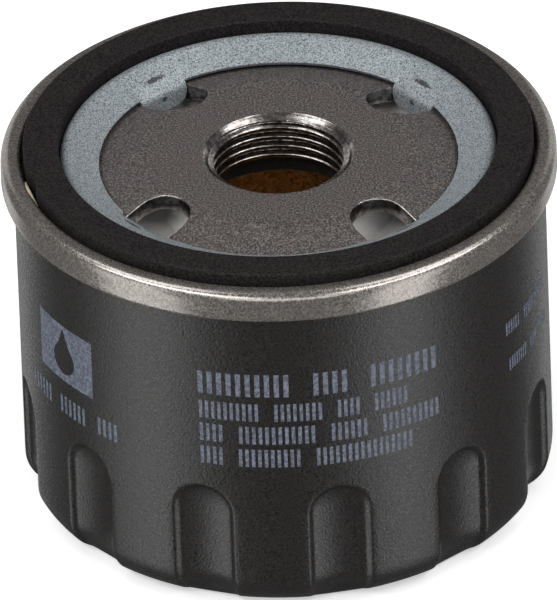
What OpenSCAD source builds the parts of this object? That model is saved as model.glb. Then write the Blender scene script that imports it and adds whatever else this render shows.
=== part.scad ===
/* [Can] */
// Outside radius of the drawn steel can
can_r = 37.5; // [36:0.5:40]
// Wall thickness of the can
can_wall = 0.5; // [0.4:0.05:0.6]
// Outside radius of the corner between wall and closed end
can_corner_r = 6; // [4:0.5:8]
// Depth of the shallow recess in the closed end
end_recess = 1; // [0.5:0.1:1.5]
// Number of wrench flutes around the closed end
flute_count = 12; // [8:1:15]
// Width of one wrench flute
flute_w = 9; // [7:0.5:10]
// Depth of one wrench flute
flute_depth = 1.4; // [0.8:0.1:1.8]
// Height of the top of a flute's arch above the closed end
flute_top = 21; // [16:1:24]

/* [Rim] */
// Height of the rolled seam's widest line above the closed end
seam_z = 53; // [50:0.5:70]
// Outside radius of the rolled seam
seam_r = 39.25; // [39.2:0.05:39.5]
// Sheet thickness of the seaming lid
lid_wall = 0.56; // [0.5:0.02:0.6]
// Radius of the opening in the seaming lid
lid_open_r = 25.1; // [24.8:0.1:25.6]
// Width of each bent locating tab
tab_w = 8.2; // [6:0.2:8.2]

/* [Gasket] */
// Inside radius of the sealing gasket
gasket_in_r = 31; // [31:0.1:31.4]
// Outside radius of the sealing gasket
gasket_out_r = 36.05; // [35.5:0.05:36.1]
// Height of the gasket ring
gasket_h = 4.85; // [4:0.05:5.5]

/* [Base plate] */
// Radius of the thread's crests: M20 x 1.5 internal thread
thread_minor_r = 9.188; // [9.1:0.001:9.3]
// Thickness of the base plate
plate_t = 2.3; // [2:0.1:2.6]
// Width of each oil inlet slot
slot_w = 8.4; // [8.4:0.1:9]
// Angle of the first inlet slot from the X axis
slot_angle = 39.6; // [0:0.1:90]

/* [Filter element] */
// Number of pleats in the paper
pleat_count = 46; // [36:2:50]
// Radius over the pleat tips
pleat_out_r = 31; // [30:0.5:31.5]
// Inside radius of the perforated centre tube
tube_in_r = 12.3; // [12.2:0.1:12.5]
// Rows of holes up the centre tube
tube_rows = 5; // [3:1:6]

/* [Hidden] */
$fn = 128;
gap = 0.02;          // between fixed parts that touch
play = 0.2;          // between parts that move apart
cut = 10;            // how far a cutting shape runs past what it cuts

// Rolled seam
can_in_r = can_r - can_wall;
plate_z = seam_z + 0.2;                        // top of the plate at the bore
plate_edge_z = plate_z - 2.8;                  // top of the plate under the lid
plate_flat_r = 19.5;                           // where the plate starts to slope down
plate_slope_r = 28.5;                          // where the slope ends
plate_r = 35.6;
hub_r = 11.7;
hub_bottom_z = plate_z - 7;
bore_chamfer_r = 10.6;
bore_chamfer_z = plate_z - (bore_chamfer_r - thread_minor_r);
slot_in_r = 17.75;                             // inner end of a slot
slot_out_r = 30;                               // outer end, hidden under the lid
channel_z = plate_edge_z + 0.07 + lid_wall / 2;    // middle of the lid's channel sheet
lid_crest_z = seam_z + 1.3 - lid_wall / 2;
lid_edge_z = seam_z - 0.9 - lid_wall / 2;
lid_crest_r = 29.75;
chuck_r = can_in_r - gap - lid_wall / 2;       // lid wall inside the can
seam_top_z = seam_z + 1.4 - lid_wall / 2;
seam_bottom_z = seam_z - 3.2 + lid_wall / 2;
seam_mid_r = seam_r - lid_wall / 2;
lid_hook_r = can_r + gap + lid_wall / 2;
can_hook_out_r = seam_r - lid_wall - gap;
seam_bend_r = 1;                               // lid's bend over the top of the seam
can_flange_z = seam_top_z - lid_wall / 2 - 0.25;
tab_bottom_z = seam_z - 4.2;
gasket_z = channel_z + lid_wall / 2 + gap;

// Filter element, from the closed end up
floor_z = can_wall + end_recess;
lower_cap_z = 9;
cap_t = 0.4;
cap_r = 32.5;
cap_rim_h = 3;
upper_cap_z = plate_z - 10.9;
potting_t = 1.4;
paper_t = 6.6;                                 // radial thickness that gives a 0.6 mm sheet
pleat_in_r = 13.4;
tube_wall = 0.5;
tube_hole_r = 1.7;
tube_hole_columns = 10;
spring_wire = 1.2;
spring_mid_r = 15;
seat_t = 0.7;
seal_out_r = 14.2;
seal_top_z = hub_bottom_z + 2.4;
diaphragm_in_r = seal_out_r + gap;
diaphragm_t = 0.9;
lip_r = 31.8;                                  // middle radius of the diaphragm's bead
lip_w = 2.4;
lip_top_z = plate_edge_z - plate_t - play;

// Bypass valve, in the centre of the lower end cap
port_r = 6.5;
seat_z = lower_cap_z + cap_t + gap;
seat_lip_z = seat_z + 1.35;
seal_z = seat_lip_z + play;
seal_t = 1.2;
disc_z = seal_z + seal_t;
disc_t = 0.6;
cage_top_z = seat_z + 10.6;
cage_t = 0.6;
stem_r = 1.6;
cage_r = 11.8;

function arc(centre, r, from, to, steps = 8) =
    [for (i = [0 : steps]) centre + r * [cos(from + (to - from) * i / steps),
                                         sin(from + (to - from) * i / steps)]];
function unit(v) = v / norm(v);
function along(path, i) = unit(path[min(i + 1, len(path) - 1)] - path[max(i - 1, 0)]);
function beside(path, d) = [for (i = [0 : len(path) - 1])
    path[i] + d * [-along(path, i)[1], along(path, i)[0]]];
function backwards(path) = [for (i = [len(path) - 1 : -1 : 0]) path[i]];

// A sheet of one thickness, turned about the axis, whose middle follows a path
module turned_sheet(path, thickness)
    rotate_extrude()
        polygon(concat(beside(path, thickness / 2), backwards(beside(path, -thickness / 2))));

module ring(out_r, in_r, low, high)
    translate([0, 0, low])
        difference() {
            cylinder(r = out_r, h = high - low);
            translate([0, 0, -cut]) cylinder(r = in_r, h = high - low + 2 * cut);
        }

// Round wire wound into a coil with one closed turn at each end
module coil(mid_r, wire_d, low, high, turns, sides = 8, per_turn = 18) {
    last = turns * per_turn;
    closed_rise = wire_d * 1.06;
    body_rise = (high - low - wire_d - 2 * closed_rise) / (turns - 2);
    function rise(t) = t < 1 ? t * closed_rise
        : t > turns - 1 ? closed_rise + (turns - 2) * body_rise + (t - turns + 1) * closed_rise
        : closed_rise + (t - 1) * body_rise;
    rings = [for (i = [0 : last]) [for (k = [0 : sides - 1])
        let (turn = 360 * i / per_turn,
             side = 360 * k / sides,
             r = mid_r + wire_d / 2 * cos(side))
        [r * cos(turn), r * sin(turn),
         low + wire_d / 2 + rise(i / per_turn) + wire_d / 2 * sin(side)]]];
    polyhedron(
        points = [for (one = rings) for (point = one) point],
        faces = concat(
            [for (i = [0 : last - 1]) for (k = [0 : sides - 1])
                [i * sides + k, i * sides + (k + 1) % sides,
                 (i + 1) * sides + (k + 1) % sides, (i + 1) * sides + k]],
            [[for (k = [sides - 1 : -1 : 0]) k]],
            [[for (k = [0 : sides - 1]) last * sides + k]]));
}

// Outside or inside form of the can, before the flutes
module can_form(r, corner_r, low, high, recess_r)
    rotate_extrude()
        polygon(concat([[0, low + end_recess], [recess_r - 2, low + end_recess],
                        [recess_r, low]],
                       arc([r - corner_r, low + corner_r], corner_r, -90, 0, 12),
                       [[r, high], [0, high]]));

// Cutters for the wrench flutes: straight below, round arch above
module flutes(floor_r, width)
    for (i = [0 : flute_count - 1])
        rotate([0, 0, -109.5 + i * 360 / flute_count]) {
            translate([floor_r, -width / 2, -cut])
                cube([cut, width, flute_top - flute_w / 2 + cut]);
            translate([floor_r, 0, flute_top - flute_w / 2])
                rotate([0, 90, 0])
                    cylinder(r = width / 2, h = cut);
        }

module can() color([0.2, 0.18, 0.17]) {
    floor_r = can_r - flute_depth;
    difference() {
        can_form(can_r, can_corner_r, 0, can_flange_z, 26);
        flutes(floor_r, flute_w);
        difference() {
            translate([0, 0, can_wall])
                can_form(can_in_r, can_corner_r - can_wall, 0, can_flange_z, 25.8);
            flutes(floor_r - can_wall, flute_w + 2 * can_wall);
        }
    }
    // the flange, turned out and down inside the rolled seam
    hook_t = 0.46;
    bend = can_flange_z - seam_top_z + seam_bend_r;
    rotate_extrude()
        polygon(concat(
            [[can_r - can_wall / 2, can_flange_z - can_wall],
             [can_r - can_wall / 2, can_flange_z]],
            arc([can_hook_out_r - bend, can_flange_z - bend], bend, 90, 0, 6),
            [[can_hook_out_r, seam_bottom_z + 0.5],
             [can_hook_out_r - hook_t, seam_bottom_z + 0.5],
             [can_hook_out_r - hook_t, can_flange_z - can_wall]]));
}

module seaming_lid() color([0.62, 0.67, 0.7]) {
    bend = 0.45;
    // from the hook beside the can wall, round the roll, and in to the middle opening
    path = concat(
        [[lid_hook_r, can_flange_z - can_wall - 0.15]],
        [[lid_hook_r, seam_bottom_z + bend]],
        arc([lid_hook_r + bend, seam_bottom_z + bend], bend, 180, 270, 4),
        arc([seam_mid_r - bend, seam_bottom_z + bend], bend, -90, 0, 4),
        arc([seam_mid_r - seam_bend_r, seam_top_z - seam_bend_r], seam_bend_r, 0, 90, 8),
        arc([chuck_r + bend, seam_top_z - bend], bend, 90, 180, 4),
        arc([chuck_r - bend, channel_z + bend], bend, 0, -90, 4),
        arc([lid_crest_r + 0.9 + bend, channel_z + bend], bend, 270, 180, 4),
        arc([lid_crest_r, lid_crest_z - 0.9], 0.9, 0, 115, 8),
        [[lid_open_r, lid_edge_z]]);
    turned_sheet(path, lid_wall);
    for (i = [0 : 3])
        rotate([0, 0, slot_angle + 90 * i])
            translate([lid_open_r - lid_wall, 0, 0])
                rotate([90, 0, 90])
                    linear_extrude(lid_wall + 0.1)
                        tab_outline();
}

// Flat shape of one tab: square at its bend, two round corners at its free end
module tab_outline() {
    corner = 1.6;
    top = lid_edge_z + 0.1;
    translate([-tab_w / 2, tab_bottom_z + corner])
        square([tab_w, top - tab_bottom_z - corner]);
    translate([-tab_w / 2 + corner, tab_bottom_z])
        square([tab_w - 2 * corner, corner + 0.1]);
    for (side = [-1, 1])
        translate([side * (tab_w / 2 - corner), tab_bottom_z + corner])
            circle(r = corner);
}

module seam_compound() color([0.55, 0.5, 0.4])
    ring(seam_mid_r - seam_bend_r, can_r - 0.1, can_flange_z + gap,
         seam_top_z - lid_wall / 2 - gap);

module slot_cutter()
    rotate([0, 0, slot_angle])
        translate([0, 0, hub_bottom_z - cut])
            linear_extrude(30) {
                translate([slot_in_r + slot_w / 2, 0]) circle(d = slot_w);
                translate([slot_out_r - slot_w / 2, 0]) circle(d = slot_w);
                translate([slot_in_r + slot_w / 2, -slot_w / 2])
                    square([slot_out_r - slot_in_r - slot_w, slot_w]);
            }

module base_plate() color([0.34, 0.32, 0.31])
    difference() {
        rotate_extrude()
            polygon(concat(
                [[thread_minor_r, bore_chamfer_z], [bore_chamfer_r, plate_z],
                 [plate_flat_r, plate_z], [plate_slope_r, plate_edge_z],
                 [plate_r, plate_edge_z], [plate_r, plate_edge_z - plate_t],
                 [plate_slope_r - 0.7, plate_edge_z - plate_t],
                 [plate_flat_r - 0.7, plate_z - plate_t]],
                arc([hub_r + 1.5, plate_z - plate_t - 1.5], 1.5, 90, 180, 6),
                [[hub_r, hub_bottom_z + 0.4], [hub_r - 0.4, hub_bottom_z],
                 [thread_minor_r + 0.6, hub_bottom_z],
                 [thread_minor_r, hub_bottom_z + 0.6]]));
        for (i = [0 : 3])
            rotate([0, 0, 90 * i]) slot_cutter();
    }

module sealing_gasket() color([0.15, 0.14, 0.14])
    rotate_extrude()
        polygon(concat(
            [[gasket_in_r + 0.3, gasket_z], [gasket_out_r - 0.3, gasket_z],
             [gasket_out_r, gasket_z + 0.4]],
            arc([gasket_out_r - 0.35, gasket_z + gasket_h - 0.35], 0.35, 0, 90, 4),
            arc([gasket_in_r + 0.35, gasket_z + gasket_h - 0.35], 0.35, 90, 180, 4),
            [[gasket_in_r, gasket_z + 0.4]]));

module support_spring() color([0.6, 0.6, 0.62])
    coil(spring_mid_r, spring_wire, floor_z + gap, lower_cap_z - gap - seat_t - play, 3);

// Pressed washer that centres the spring under the lower end cap
module spring_seat() color([0.75, 0.75, 0.78]) {
    top = lower_cap_z - gap;
    ring(spring_mid_r + 3, 9, top - seat_t, top);
    ring(spring_mid_r - spring_wire / 2 - 0.4, spring_mid_r - spring_wire / 2 - 1,
         top - seat_t - 1.6, top - seat_t / 2);
}

module lower_end_cap() color([0.75, 0.75, 0.78]) {
    ring(cap_r, port_r + 0.4, lower_cap_z, lower_cap_z + cap_t);
    ring(cap_r, cap_r - cap_t, lower_cap_z, lower_cap_z + cap_rim_h);
}

module upper_end_cap() color([0.75, 0.75, 0.78]) {
    ring(cap_r, tube_in_r, upper_cap_z, upper_cap_z + cap_t);
    ring(cap_r, cap_r - cap_t, upper_cap_z + cap_t - cap_rim_h, upper_cap_z + cap_t);
}

module lower_potting() color([0.75, 0.65, 0.35])
    ring(cap_r - cap_t - gap, tube_in_r + tube_wall + gap,
         lower_cap_z + cap_t + gap, lower_cap_z + cap_t + potting_t);

module upper_potting() color([0.75, 0.65, 0.35])
    ring(cap_r - cap_t - gap, tube_in_r + tube_wall + gap,
         upper_cap_z - potting_t, upper_cap_z - gap);

function zigzag(out_r, in_r) =
    [for (i = [0 : 2 * pleat_count - 1])
        let (r = i % 2 == 0 ? out_r : in_r, turn = 180 * i / pleat_count)
        [r * cos(turn), r * sin(turn)]];

// Paper folded into a ring of radial pleats
module pleated_paper() color([0.85, 0.6, 0.25]) {
    low = lower_cap_z + cap_t + potting_t + gap;
    high = upper_cap_z - potting_t - gap;
    translate([0, 0, low])
        linear_extrude(high - low)
            difference() {
                polygon(zigzag(pleat_out_r, pleat_in_r + paper_t));
                polygon(zigzag(pleat_out_r - paper_t, pleat_in_r));
            }
}

// Folded strip that holds the paper's two ends, in the gap between two pleats
module paper_seam_clip() color([0.7, 0.7, 0.72]) {
    low = lower_cap_z + cap_t + potting_t + 1;
    high = upper_cap_z - potting_t - 1;
    in_r = pleat_out_r - 4.2;
    rotate([0, 0, 180 / pleat_count])
        translate([in_r, -0.7, low])
            difference() {
                cube([3.8, 1.4, high - low]);
                translate([-cut, 0.35, -cut]) cube([cut + 3.4, 0.7, high - low + 2 * cut]);
            }
}

module centre_tube() color([0.72, 0.5, 0.2]) {
    low = lower_cap_z + cap_t + gap;
    high = upper_cap_z - gap;
    row_step = (high - low) / (tube_rows + 1);
    difference() {
        ring(tube_in_r + tube_wall, tube_in_r, low, high);
        for (row = [1 : tube_rows])
            for (i = [0 : tube_hole_columns - 1])
                rotate([0, 0, (i + row / 2 + 0.25) * 360 / tube_hole_columns])
                    translate([tube_in_r - 1, 0, low + row * row_step])
                        rotate([0, 90, 0])
                            cylinder(r = tube_hole_r, h = tube_wall + 2);
    }
}

// Rubber ring between the upper end cap and the threaded hub
module hub_seal() color([0.1, 0.1, 0.1]) {
    low = upper_cap_z + cap_t + gap;
    ring(seal_out_r, hub_r + play, low, seal_top_z);
    ring(seal_out_r + 2.6, seal_out_r - 0.5, low, low + 1.8);
}

// Rubber collar under the plate with a thin cone that reaches out under the inlet slots
module drainback_diaphragm() color([0.8, 0.8, 0.78]) {
    low = upper_cap_z + cap_t + 2 * gap + 1.8;
    top = plate_z - plate_t - play;
    edge_r = lip_r - lip_w / 2 - gap;
    rotate_extrude()
        polygon([[diaphragm_in_r, low], [diaphragm_in_r + 2.4, low],
                 [edge_r, lip_top_z - 0.5 - diaphragm_t], [edge_r, lip_top_z - 0.5],
                 [diaphragm_in_r + 2.6, low + diaphragm_t + 0.1],
                 [diaphragm_in_r + 1.6, low + diaphragm_t + 1.4],
                 [diaphragm_in_r + 1.6, top], [diaphragm_in_r, top]]);
}

// Bead on the rim of the cone: it closes against the underside of the plate
module drainback_lip() color([0.8, 0.8, 0.78])
    rotate_extrude()
        polygon(concat(
            [[lip_r - lip_w / 2, lip_top_z - 1.6], [lip_r + lip_w / 2, lip_top_z - 1.2]],
            arc([lip_r + lip_w / 2 - 0.5, lip_top_z - 0.5], 0.5, 0, 90, 5),
            arc([lip_r - lip_w / 2 + 0.3, lip_top_z - 0.3], 0.3, 90, 180, 4)));

module bypass_seat() color([0.7, 0.7, 0.72]) {
    ring(cage_r, port_r, seat_z, seat_z + 0.6);
    ring(port_r + 0.6, port_r, seat_z, seat_lip_z);
}

// Stamped cage: base ring, three legs and a bridge that guides the stem
module bypass_cage() color([0.7, 0.7, 0.72]) {
    base_z = seat_z + 0.6 + gap;
    leg_w = 4;
    difference() {
        union() {
            ring(cage_r, cage_r - 1.9, base_z, base_z + cage_t);
            ring(cage_r, cage_r - cage_t, base_z, cage_top_z + cage_t);
            ring(cage_r - cage_t / 2, stem_r + 0.05, cage_top_z, cage_top_z + cage_t);
        }
        // the windows between the legs
        for (i = [0 : 2])
            rotate([0, 0, 120 * i])
                for (turn = [0, 60])
                    rotate([0, 0, turn])
                        translate([leg_w / 2 + 0.4, leg_w * 0.75, base_z + cage_t + 0.6])
                            cube([2 * cage_r, cage_r * 0.5, cage_top_z - base_z - 2.2]);
    }
}

module bypass_spring() color([0.6, 0.6, 0.62])
    coil(5.4, 0.8, disc_z + disc_t + gap, cage_top_z - gap, 4);

module bypass_disc() color([0.75, 0.75, 0.78])
    ring(9.2, stem_r + gap, disc_z, disc_z + disc_t);

module bypass_seal() color([0.1, 0.1, 0.1])
    ring(8.8, stem_r + gap, seal_z, disc_z - gap);

module bypass_stem() color([0.6, 0.6, 0.62]) {
    translate([0, 0, seal_z - 0.6]) cylinder(r = 3, h = 0.6 - gap);
    translate([0, 0, seal_z - 0.6]) cylinder(r = stem_r, h = cage_top_z - seal_z + 2.2);
}

can();
seaming_lid();
seam_compound();
base_plate();
sealing_gasket();
support_spring();
spring_seat();
lower_end_cap();
upper_end_cap();
lower_potting();
upper_potting();
pleated_paper();
paper_seam_clip();
centre_tube();
hub_seal();
drainback_diaphragm();
drainback_lip();
bypass_seat();
bypass_cage();
bypass_spring();
bypass_disc();
bypass_seal();
bypass_stem();
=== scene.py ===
"""Looks of a spin-on oil filter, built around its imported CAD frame.

Sizes are in millimetres and angles in degrees until a mesh is made. Azimuths on the can are
counted from the front (-Y) towards +X. Every piece is a closed mesh made here in code.
"""
import math

import bmesh
import bpy
import numpy as np
from mathutils import Matrix, Vector
from mathutils.geometry import delaunay_2d_cdt


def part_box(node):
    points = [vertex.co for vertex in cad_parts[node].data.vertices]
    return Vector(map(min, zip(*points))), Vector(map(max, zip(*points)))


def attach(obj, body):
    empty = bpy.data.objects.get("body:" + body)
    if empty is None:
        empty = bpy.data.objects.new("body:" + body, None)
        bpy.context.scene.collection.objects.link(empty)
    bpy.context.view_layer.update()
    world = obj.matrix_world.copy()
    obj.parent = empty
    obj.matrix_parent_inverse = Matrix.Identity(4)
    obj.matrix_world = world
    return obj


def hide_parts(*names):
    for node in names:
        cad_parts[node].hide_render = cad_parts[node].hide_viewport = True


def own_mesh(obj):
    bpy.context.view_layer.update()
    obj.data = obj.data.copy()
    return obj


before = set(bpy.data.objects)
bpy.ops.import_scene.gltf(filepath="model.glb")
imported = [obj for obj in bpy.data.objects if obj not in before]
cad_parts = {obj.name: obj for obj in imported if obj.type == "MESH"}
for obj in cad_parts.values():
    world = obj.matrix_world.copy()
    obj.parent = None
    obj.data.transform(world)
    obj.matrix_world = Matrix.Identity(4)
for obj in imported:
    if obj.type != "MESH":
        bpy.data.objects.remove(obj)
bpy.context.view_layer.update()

MM = 0.001


def top_of(node):
    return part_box(node)[1].z / MM


def bottom_of(node):
    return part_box(node)[0].z / MM


def span_of(node):
    return bottom_of(node), top_of(node)


def radius_of(node):
    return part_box(node)[1].x / MM


# ---- driving sizes

PLATE_Z = top_of("base_plate")
SEAM_TOP = top_of("seaming_lid")
SEAM_BOTTOM = SEAM_TOP - 4.6
SEAM_R = radius_of("seaming_lid")
SEAM_Z = SEAM_TOP - 1.4    # level from which the lid's ring, its tabs and the print are set
CAN_R = 37.5
CAN_WALL = 0.5
CORNER_R = 6.0             # rounding between the can's wall and its closed end
RECESS_R = 26.0            # the closed end is sunk inside this radius
RECESS_DEPTH = 1.0
FOLD_GAP = 0.02            # between the sheets of the rolled seam
LID_WALL = 0.56
LID_OPEN_R = 25.5
LID_CREST_R = 30.65
LID_SLOPE = math.tan(math.radians(26.4))    # of the ring, from its opening up to its crest
PLATE_R = radius_of("base_plate")
PLATE_T = 2.3
PLATE_DROP = 2.8           # the plate's rim lies this far below its middle
PLATE_SLOPE_IN = 19.5
PLATE_SLOPE_OUT = 28.5
SLOT_ANGLE = 39.6
SLOT_W = 8.4
SLOT_IN_R = 17.75
SLOT_OUT_R = 30.0
TAB_W = 8.2
TAB_CORNER_R = 1.6
TAB_BEND = 0.9             # radius inside the bend of a tab
TAB_BOW = 0.3              # how far a tab's root bows down over its last TAB_BOW_W
TAB_BOW_W = 1.5
TAB_LOW = SEAM_Z - 4.2     # the tip of a tab
FLUTES = 12
FLUTE_FIRST = -19.5
FLUTE_W = 9.4
FLUTE_TOP = 21.0
FLUTE_RUN = 1.0            # width of the wall between the can and a flute's floor
FLUTE_EDGE_DEPTH = 0.62    # depth at the foot of that wall
FLUTE_SCOOP = 0.85         # further depth of the concave floor
FLUTE_FADE = 3.2           # below this height a flute runs out over the rounded corner
THREAD_MINOR_R = 9.188
THREAD_MAJOR_R = 10.0
THREAD_PITCH = 1.5
BORE_EDGE_R = 10.6
HUB_R = 11.7
HUB_FILLET = 1.5
HUB_BOTTOM = bottom_of("base_plate")


# ---- profiles

def rounded(corners, closed=True, steps=7):
    """A path through corners (x, y, radius), with an arc at each corner that has a radius."""
    path = []
    count = len(corners)
    for i, (x, y, radius) in enumerate(corners):
        point = np.array([x, y], float)
        at_end = not closed and i in (0, count - 1)
        if radius <= 0 or at_end:
            path.append(point)
            continue
        before = np.array(corners[i - 1][:2], float) - point
        after = np.array(corners[(i + 1) % count][:2], float) - point
        before /= np.linalg.norm(before)
        after /= np.linalg.norm(after)
        half = math.acos(np.clip(before @ after, -1, 1)) / 2
        inwards = (before + after) / np.linalg.norm(before + after)
        centre = point + inwards * radius / math.sin(half)
        start = point + before * radius / math.tan(half) - centre
        end = point + after * radius / math.tan(half) - centre
        first = math.atan2(start[1], start[0])
        sweep = math.atan2(end[1], end[0]) - first
        sweep = (sweep + math.pi) % (2 * math.pi) - math.pi
        for angle in np.linspace(first, first + sweep, steps + 1):
            path.append(centre + radius * np.array([math.cos(angle), math.sin(angle)]))
    return path


def beside(path, distance):
    """The path moved sideways, to the left of its own direction."""
    moved = []
    for i, point in enumerate(path):
        ahead = path[min(i + 1, len(path) - 1)] - path[max(i - 1, 0)]
        ahead = ahead / np.linalg.norm(ahead)
        moved.append(point + distance * np.array([-ahead[1], ahead[0]]))
    return moved


def sheet_profile(path, thickness):
    """Closed profile of a sheet whose middle follows the path."""
    return beside(path, thickness / 2) + beside(path, -thickness / 2)[::-1]


def divided(path, longest):
    """The path with long steps cut up; longest(z) is the longest step allowed there."""
    fine = [path[0]]
    for start, end in zip(path[:-1], path[1:]):
        allowed = longest((start[1] + end[1]) / 2)
        parts = max(1, math.ceil(np.linalg.norm(end - start) / allowed))
        for k in range(1, parts + 1):
            fine.append(start + (end - start) * k / parts)
    return fine


# ---- meshes

def make_piece(name, points, faces, materials, body, nodes=(), sharp=32.0,
               face_material=None):
    """A mesh object from points in millimetres, which rides on body and stands for nodes."""
    mesh = bpy.data.meshes.new(name)
    mesh.from_pydata((np.asarray(points, float) * MM).tolist(), [], faces)
    work = bmesh.new()
    work.from_mesh(mesh)
    bmesh.ops.recalc_face_normals(work, faces=work.faces)
    work.to_mesh(mesh)
    work.free()
    for material in materials:
        mesh.materials.append(material)
    if face_material is not None:
        mesh.polygons.foreach_set("material_index", face_material)
    mesh.shade_smooth()
    mesh.set_sharp_from_angle(angle=math.radians(sharp))
    piece = bpy.data.objects.new(name, mesh)
    bpy.context.scene.collection.objects.link(piece)
    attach(piece, body)
    if nodes:
        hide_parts(*nodes)
    return piece


def numbered(points, new):
    """Adds the new points and gives their numbers."""
    start = len(points)
    points.extend(new)
    return list(range(start, len(points)))


def bridge(first, second):
    """Quads between two closed rows of vertex numbers of the same length."""
    count = len(first)
    return [(first[i], first[(i + 1) % count], second[(i + 1) % count], second[i])
            for i in range(count)]


def strip(first, second):
    """Quads between two open rows of vertex numbers of the same length."""
    return [(first[i], second[i], second[i + 1], first[i + 1]) for i in range(len(first) - 1)]


def tube(rows):
    """Faces of a tube along rings of vertex numbers, closed at both ends."""
    faces = [tuple(rows[0]), tuple(rows[-1])[::-1]]
    for first, second in zip(rows[:-1], rows[1:]):
        faces += bridge(first, second)
    return faces


def spun(x, y, angle):
    """The point (x, y) turned about the axis by an angle in radians."""
    return x * math.cos(angle) - y * math.sin(angle), x * math.sin(angle) + y * math.cos(angle)


def filled(outlines, inner, wanted):
    """Triangles that fill closed outlines through inner points, all of them (x, y).

    Gives the spots, the triangles whose middle is wanted, and the numbers of each outline.
    """
    flat = []
    loops = [numbered(flat, outline) for outline in outlines]
    lines = [pair for loop in loops for pair in zip(loop, loop[1:] + loop[:1])]
    spots, _, triangles, origins, _, _ = delaunay_2d_cdt(
        [Vector(p) for p in flat + inner], lines, [], 0, 1e-6, True)
    kept = [tuple(face) for face in triangles
            if wanted(sum((spots[i] for i in face), Vector((0, 0))) / 3)]
    number = {source: i for i, sources in enumerate(origins) for source in sources}
    return spots, kept, [[number[i] for i in loop] for loop in loops]


def revolve(path, steps=192, closed=True, shape=None, turn=None):
    """Points and faces of the profile (r, z) turned about Z. A point on the axis is a pole."""
    if turn is None:
        turn = np.linspace(0, 2 * math.pi, steps, endpoint=False)
    steps = len(turn)
    points, rows = [], []
    for r, z in path:
        if r < 1e-6:
            rows.append(numbered(points, [(0.0, 0.0, z)]))
            continue
        around = np.full(steps, r) if shape is None else shape(r, z, turn)
        ring = zip(around * np.cos(turn), around * np.sin(turn), np.full(steps, z))
        rows.append(numbered(points, ring))
    faces = []
    for first, second in zip(rows, rows[1:] + rows[:1] if closed else rows[1:]):
        if len(first) == len(second):
            faces += bridge(first, second) if len(first) > 1 else []
        elif len(first) == 1:
            faces += [(first[0], second[i], second[(i + 1) % steps]) for i in range(steps)]
        else:
            faces += [(second[0], first[(i + 1) % steps], first[i]) for i in range(steps)]
    return points, faces


def turned(name, corners, material, body, nodes, steps=192):
    """A ring turned about Z from profile corners (r, z, radius)."""
    points, faces = revolve(rounded(corners, steps=6), steps)
    make_piece(name, points, faces, [material], body, nodes)


def swept_wire(centres, wire_r):
    """Points and faces of a round wire along the centres, with domed ends."""
    sides = 20
    ahead = np.gradient(centres, axis=0)
    ahead /= np.linalg.norm(ahead, axis=1)[:, None]
    out = centres * [1, 1, 0]
    out /= np.linalg.norm(out, axis=1)[:, None]
    out -= (out * ahead).sum(1)[:, None] * ahead
    out /= np.linalg.norm(out, axis=1)[:, None]
    side = np.cross(ahead, out)
    last = len(centres) - 1
    leans = np.radians((25, 50, 75))
    # the rings as (centre's number, how far round the dome, which end's dome)
    rings = [(0, lean, -1) for lean in leans[::-1]]
    rings += [(i, 0.0, 0) for i in range(last + 1)]
    rings += [(last, lean, 1) for lean in leans]
    points, rows = [], []
    for i, lean, end in rings:
        centre = centres[i] + end * ahead[i] * wire_r * math.sin(lean) * 0.5
        r = wire_r * math.cos(lean)
        angles = 2 * math.pi * np.arange(sides) / sides
        rows.append(numbered(points, [centre + r * (math.cos(a) * out[i] + math.sin(a) * side[i])
                                      for a in angles]))
    return points, tube(rows)


def coil_centres(mid_r, wire_d, low, high, turns):
    """Centre line of a coil with one closed turn at each end."""
    closed_rise = wire_d * 1.06
    whole_rise = high - low - wire_d
    turn = np.linspace(0, turns, 56 * turns + 1)
    rise = np.interp(turn, (0, 1, turns - 1, turns),
                     (0, closed_rise, whole_rise - closed_rise, whole_rise))
    x, y = mid_r * np.cos(2 * math.pi * turn), mid_r * np.sin(2 * math.pi * turn)
    return np.stack([x, y, low + wire_d / 2 + rise], 1)


# ---- materials

def feed(target, source):
    """Joins an output to the input socket target, or gives it a plain value."""
    if isinstance(source, bpy.types.NodeSocket):
        target.id_data.links.new(source, target)
    elif source is not None:
        target.default_value = source


def add_node(tree, kind, *sources, **settings):
    """A node of the kind, its inputs fed in order. None leaves an input as it is."""
    node = tree.nodes.new("ShaderNode" + kind)
    for name, value in settings.items():
        setattr(node, name, value)
    for target, source in zip(node.inputs, sources):
        feed(target, source)
    return node


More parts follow.
